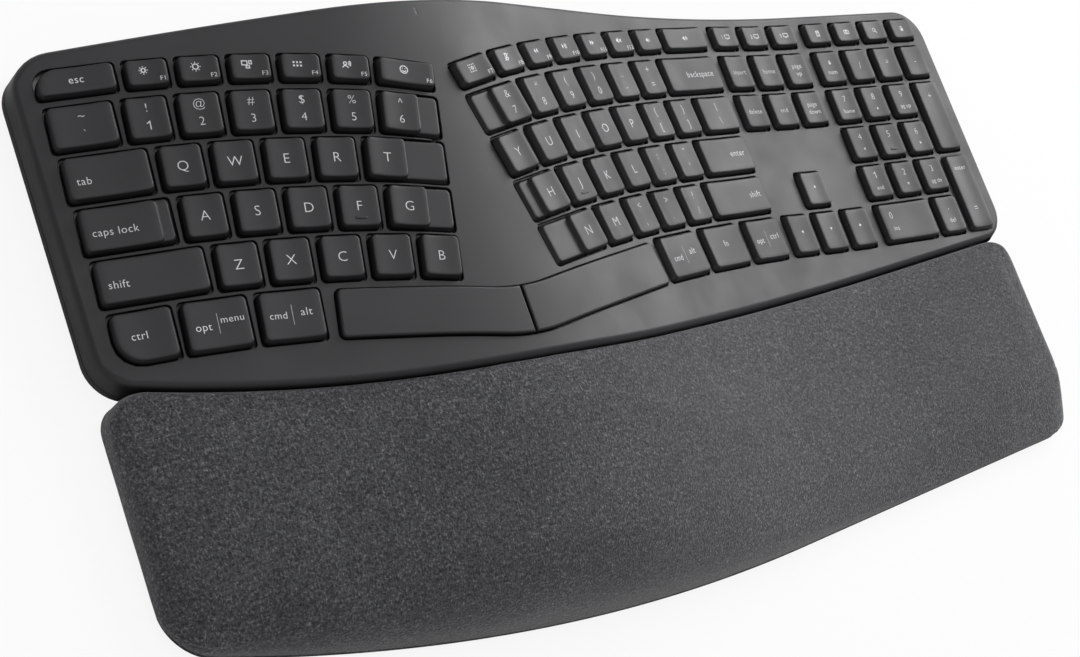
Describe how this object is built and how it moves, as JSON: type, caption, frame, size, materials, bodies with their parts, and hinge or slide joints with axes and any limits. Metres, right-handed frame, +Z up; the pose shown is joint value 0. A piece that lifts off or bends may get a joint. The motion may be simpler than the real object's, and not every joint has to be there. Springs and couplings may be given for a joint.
{
  "type": "ergonomic split keyboard",
  "caption": "Wave-shaped split keyboard with fanned key halves, a number pad, a cushioned cloth palm rest and flip-out tilt legs.",
  "frame": {"origin": "centre of the footprint, on the desk under the rubber feet", "axes": "+X to the typist's right along the keyboard, +Y away from the typist to the back edge, +Z up from the desk"},
  "size_m": [0.456, 0.233, 0.048],
  "materials": {
    "graphite_plastic": "fine satin texture",
    "key_plastic": "smooth satin",
    "sheet_steel": "plain",
    "contact_metal": "bright",
    "clear_film": "translucent film",
    "dome_rubber": "soft",
    "foot_rubber": "matt",
    "board_laminate": "lacquered",
    "light_guide": "clear",
    "cell_jacket": "satin",
    "knit_cloth": "heathered knit",
    "foam": "open cell"
  },
  "bodies": {
    "keyboard_body": {"top_cover": "graphite_plastic", "bottom_cover": "graphite_plastic", "key_plate": "sheet_steel", "membrane_sheet": "clear_film", "rubber_domes": "dome_rubber", "circuit_board": "board_laminate", "power_switch_body": "graphite_plastic", "status_light": "light_guide", "batteries": "cell_jacket", "battery_contacts": "contact_metal", "keyboard_feet": "foot_rubber", "palm_rest_fabric": "knit_cloth", "palm_rest_foam": "foam", "palm_rest_frame": "graphite_plastic", "palm_rest_base": "graphite_plastic", "palm_rest_feet": "foot_rubber", "joining_plates": "sheet_steel"},
    "escape_key": {"escape_key": "key_plastic"},
    "left_function_keys": {"left_function_keys": "key_plastic"},
    "right_function_keys": {"right_function_keys": "key_plastic"},
    "device_keys": {"device_keys": "key_plastic"},
    "shortcut_keys": {"shortcut_keys": "key_plastic"},
    "grave_key": {"grave_key": "key_plastic"},
    "left_number_keys": {"left_number_keys": "key_plastic"},
    "right_number_keys": {"right_number_keys": "key_plastic"},
    "backspace_key": {"backspace_key": "key_plastic"},
    "tab_key": {"tab_key": "key_plastic"},
    "left_top_letter_keys": {"left_top_letter_keys": "key_plastic"},
    "right_top_letter_keys": {"right_top_letter_keys": "key_plastic"},
    "caps_lock_key": {"caps_lock_key": "key_plastic"},
    "left_home_letter_keys": {"left_home_letter_keys": "key_plastic"},
    "right_home_letter_keys": {"right_home_letter_keys": "key_plastic"},
    "enter_key": {"enter_key": "key_plastic"},
    "left_shift_key": {"left_shift_key": "key_plastic"},
    "left_bottom_letter_keys": {"left_bottom_letter_keys": "key_plastic"},
    "right_bottom_letter_keys": {"right_bottom_letter_keys": "key_plastic"},
    "right_shift_key": {"right_shift_key": "key_plastic"},
    "control_key": {"control_key": "key_plastic"},
    "left_modifier_keys": {"left_modifier_keys": "key_plastic"},
    "right_modifier_keys": {"right_modifier_keys": "key_plastic"},
    "navigation_keys": {"navigation_keys": "key_plastic"},
    "arrow_keys": {"arrow_keys": "key_plastic"},
    "pad_operator_keys": {"pad_operator_keys": "key_plastic"},
    "pad_number_keys": {"pad_number_keys": "key_plastic"},
    "pad_plus_key": {"pad_plus_key": "key_plastic"},
    "pad_enter_key": {"pad_enter_key": "key_plastic"},
    "pad_zero_key": {"pad_zero_key": "key_plastic"},
    "pad_point_key": {"pad_point_key": "key_plastic"},
    "left_space_bar": {"left_space_bar": "key_plastic"},
    "right_space_bar": {"right_space_bar": "key_plastic"},
    "left_long_leg": {"left_long_leg": "graphite_plastic"},
    "left_short_leg": {"left_short_leg": "graphite_plastic"},
    "right_short_leg": {"right_short_leg": "graphite_plastic"},
    "right_long_leg": {"right_long_leg": "graphite_plastic"},
    "battery_door": {"battery_door": "graphite_plastic"},
    "power_switch_slider": {"power_switch_slider": "graphite_plastic"}
  },
  "joints": [
    {"name": "escape_key_press", "type": "slide", "parent": "keyboard_body", "child": "escape_key", "axis": [0.2593, 0, -0.9658], "range_m": [0, 0.0018], "stiffness_N_per_m": 330, "springref_m": -0.001, "deforming": ["rubber_domes"]},
    {"name": "left_function_keys_press", "type": "slide", "parent": "keyboard_body", "child": "left_function_keys", "axis": [0.1942, 0, -0.981], "range_m": [0, 0.0018], "stiffness_N_per_m": 330, "springref_m": -0.001, "deforming": ["rubber_domes"]},
    {"name": "right_function_keys_press", "type": "slide", "parent": "keyboard_body", "child": "right_function_keys", "axis": [-0.1709, 0, -0.9853], "range_m": [0, 0.0018], "stiffness_N_per_m": 330, "springref_m": -0.001, "deforming": ["rubber_domes"]},
    {"name": "device_keys_press", "type": "slide", "parent": "keyboard_body", "child": "device_keys", "axis": [-0.0529, 0, -0.9986], "range_m": [0, 0.0018], "stiffness_N_per_m": 330, "springref_m": -0.001, "deforming": ["rubber_domes"]},
    {"name": "shortcut_keys_press", "type": "slide", "parent": "keyboard_body", "child": "shortcut_keys", "axis": [0, 0, -1], "range_m": [0, 0.0018], "stiffness_N_per_m": 330, "springref_m": -0.001, "deforming": ["rubber_domes"]},
    {"name": "grave_key_press", "type": "slide", "parent": "keyboard_body", "child": "grave_key", "axis": [0.2607, 0, -0.9654], "range_m": [0, 0.0018], "stiffness_N_per_m": 330, "springref_m": -0.001, "deforming": ["rubber_domes"]},
    {"name": "left_number_keys_press", "type": "slide", "parent": "keyboard_body", "child": "left_number_keys", "axis": [0.2025, 0, -0.9793], "range_m": [0, 0.0018], "stiffness_N_per_m": 330, "springref_m": -0.001, "deforming": ["rubber_domes"]},
    {"name": "right_number_keys_press", "type": "slide", "parent": "keyboard_body", "child": "right_number_keys", "axis": [-0.1889, 0, -0.982], "range_m": [0, 0.0018], "stiffness_N_per_m": 330, "springref_m": -0.001, "deforming": ["rubber_domes"]},
    {"name": "backspace_key_press", "type": "slide", "parent": "keyboard_body", "child": "backspace_key", "axis": [-0.134, 0, -0.991], "range_m": [0, 0.0018], "stiffness_N_per_m": 330, "springref_m": -0.001, "deforming": ["rubber_domes"]},
    {"name": "tab_key_press", "type": "slide", "parent": "keyboard_body", "child": "tab_key", "axis": [0.2587, 0, -0.966], "range_m": [0, 0.0018], "stiffness_N_per_m": 330, "springref_m": -0.001, "deforming": ["rubber_domes"]},
    {"name": "left_top_letter_keys_press", "type": "slide", "parent": "keyboard_body", "child": "left_top_letter_keys", "axis": [0.2069, 0, -0.9784], "range_m": [0, 0.0018], "stiffness_N_per_m": 330, "springref_m": -0.001, "deforming": ["rubber_domes"]},
    {"name": "right_top_letter_keys_press", "type": "slide", "parent": "keyboard_body", "child": "right_top_letter_keys", "axis": [-0.1751, 0, -0.9846], "range_m": [0, 0.0018], "stiffness_N_per_m": 330, "springref_m": -0.001, "deforming": ["rubber_domes"]},
    {"name": "caps_lock_key_press", "type": "slide", "parent": "keyboard_body", "child": "caps_lock_key", "axis": [0.258, 0, -0.9661], "range_m": [0, 0.0018], "stiffness_N_per_m": 330, "springref_m": -0.001, "deforming": ["rubber_domes"]},
    {"name": "left_home_letter_keys_press", "type": "slide", "parent": "keyboard_body", "child": "left_home_letter_keys", "axis": [0.2067, 0, -0.9784], "range_m": [0, 0.0018], "stiffness_N_per_m": 330, "springref_m": -0.001, "deforming": ["rubber_domes"]},
    {"name": "right_home_letter_keys_press", "type": "slide", "parent": "keyboard_body", "child": "right_home_letter_keys", "axis": [-0.1922, 0, -0.9814], "range_m": [0, 0.0018], "stiffness_N_per_m": 330, "springref_m": -0.001, "deforming": ["rubber_domes"]},
    {"name": "enter_key_press", "type": "slide", "parent": "keyboard_body", "child": "enter_key", "axis": [-0.1312, 0, -0.9914], "range_m": [0, 0.0018], "stiffness_N_per_m": 330, "springref_m": -0.001, "deforming": ["rubber_domes"]},
    {"name": "left_shift_key_press", "type": "slide", "parent": "keyboard_body", "child": "left_shift_key", "axis": [0.2561, 0, -0.9667], "range_m": [0, 0.0018], "stiffness_N_per_m": 330, "springref_m": -0.001, "deforming": ["rubber_domes"]},
    {"name": "left_bottom_letter_keys_press", "type": "slide", "parent": "keyboard_body", "child": "left_bottom_letter_keys", "axis": [0.2028, 0, -0.9792], "range_m": [0, 0.0018], "stiffness_N_per_m": 330, "springref_m": -0.001, "deforming": ["rubber_domes"]},
    {"name": "right_bottom_letter_keys_press", "type": "slide", "parent": "keyboard_body", "child": "right_bottom_letter_keys", "axis": [-0.1991, 0, -0.98], "range_m": [0, 0.0018], "stiffness_N_per_m": 330, "springref_m": -0.001, "deforming": ["rubber_domes"]},
    {"name": "right_shift_key_press", "type": "slide", "parent": "keyboard_body", "child": "right_shift_key", "axis": [-0.1356, 0, -0.9908], "range_m": [0, 0.0018], "stiffness_N_per_m": 330, "springref_m": -0.001, "deforming": ["rubber_domes"]},
    {"name": "control_key_press", "type": "slide", "parent": "keyboard_body", "child": "control_key", "axis": [0.2614, 0, -0.9652], "range_m": [0, 0.0018], "stiffness_N_per_m": 330, "springref_m": -0.001, "deforming": ["rubber_domes"]},
    {"name": "left_modifier_keys_press", "type": "slide", "parent": "keyboard_body", "child": "left_modifier_keys", "axis": [0.2376, 0, -0.9714], "range_m": [0, 0.0018], "stiffness_N_per_m": 330, "springref_m": -0.001, "deforming": ["rubber_domes"]},
    {"name": "right_modifier_keys_press", "type": "slide", "parent": "keyboard_body", "child": "right_modifier_keys", "axis": [-0.1689, 0, -0.9856], "range_m": [0, 0.0018], "stiffness_N_per_m": 330, "springref_m": -0.001, "deforming": ["rubber_domes"]},
    {"name": "navigation_keys_press", "type": "slide", "parent": "keyboard_body", "child": "navigation_keys", "axis": [-0.0529, 0, -0.9986], "range_m": [0, 0.0018], "stiffness_N_per_m": 330, "springref_m": -0.001, "deforming": ["rubber_domes"]},
    {"name": "arrow_keys_press", "type": "slide", "parent": "keyboard_body", "child": "arrow_keys", "axis": [-0.0529, 0, -0.9986], "range_m": [0, 0.0018], "stiffness_N_per_m": 330, "springref_m": -0.001, "deforming": ["rubber_domes"]},
    {"name": "pad_operator_keys_press", "type": "slide", "parent": "keyboard_body", "child": "pad_operator_keys", "axis": [0, 0, -1], "range_m": [0, 0.0018], "stiffness_N_per_m": 330, "springref_m": -0.001, "deforming": ["rubber_domes"]},
    {"name": "pad_number_keys_press", "type": "slide", "parent": "keyboard_body", "child": "pad_number_keys", "axis": [0, 0, -1], "range_m": [0, 0.0018], "stiffness_N_per_m": 330, "springref_m": -0.001, "deforming": ["rubber_domes"]},
    {"name": "pad_plus_key_press", "type": "slide", "parent": "keyboard_body", "child": "pad_plus_key", "axis": [0, 0, -1], "range_m": [0, 0.0018], "stiffness_N_per_m": 330, "springref_m": -0.001, "deforming": ["rubber_domes"]},
    {"name": "pad_enter_key_press", "type": "slide", "parent": "keyboard_body", "child": "pad_enter_key", "axis": [0, 0, -1], "range_m": [0, 0.0018], "stiffness_N_per_m": 330, "springref_m": -0.001, "deforming": ["rubber_domes"]},
    {"name": "pad_zero_key_press", "type": "slide", "parent": "keyboard_body", "child": "pad_zero_key", "axis": [0, 0, -1], "range_m": [0, 0.0018], "stiffness_N_per_m": 330, "springref_m": -0.001, "deforming": ["rubber_domes"]},
    {"name": "pad_point_key_press", "type": "slide", "parent": "keyboard_body", "child": "pad_point_key", "axis": [0, 0, -1], "range_m": [0, 0.0018], "stiffness_N_per_m": 330, "springref_m": -0.001, "deforming": ["rubber_domes"]},
    {"name": "left_space_bar_press", "type": "slide", "parent": "keyboard_body", "child": "left_space_bar", "axis": [0, 0, -1], "range_m": [0, 0.0018], "stiffness_N_per_m": 330, "springref_m": -0.001, "deforming": ["rubber_domes"]},
    {"name": "right_space_bar_press", "type": "slide", "parent": "keyboard_body", "child": "right_space_bar", "axis": [0, 0, -1], "range_m": [0, 0.0018], "stiffness_N_per_m": 330, "springref_m": -0.001, "deforming": ["rubber_domes"]},
    {"name": "left_long_leg_swing", "type": "hinge", "parent": "keyboard_body", "child": "left_long_leg", "pos_m": [-0.168, -0.08, 0.0032], "axis": [-1, 0, 0], "range_deg": [0, 95]},
    {"name": "left_short_leg_swing", "type": "hinge", "parent": "keyboard_body", "child": "left_short_leg", "pos_m": [-0.138, -0.08, 0.0032], "axis": [-1, 0, 0], "range_deg": [0, 95]},
    {"name": "right_short_leg_swing", "type": "hinge", "parent": "keyboard_body", "child": "right_short_leg", "pos_m": [0.138, -0.08, 0.0032], "axis": [-1, 0, 0], "range_deg": [0, 95]},
    {"name": "right_long_leg_swing", "type": "hinge", "parent": "keyboard_body", "child": "right_long_leg", "pos_m": [0.168, -0.08, 0.0032], "axis": [-1, 0, 0], "range_deg": [0, 95]},
    {"name": "battery_door_swing", "type": "hinge", "parent": "keyboard_body", "child": "battery_door", "pos_m": [-0.077, 0.0502, 0.0023], "axis": [1, 0, 0], "range_deg": [0, 60]},
    {"name": "power_switch_slide", "type": "slide", "parent": "keyboard_body", "child": "power_switch_slider", "axis": [1, 0, 0], "range_m": [0, 0.003]}
  ]
}
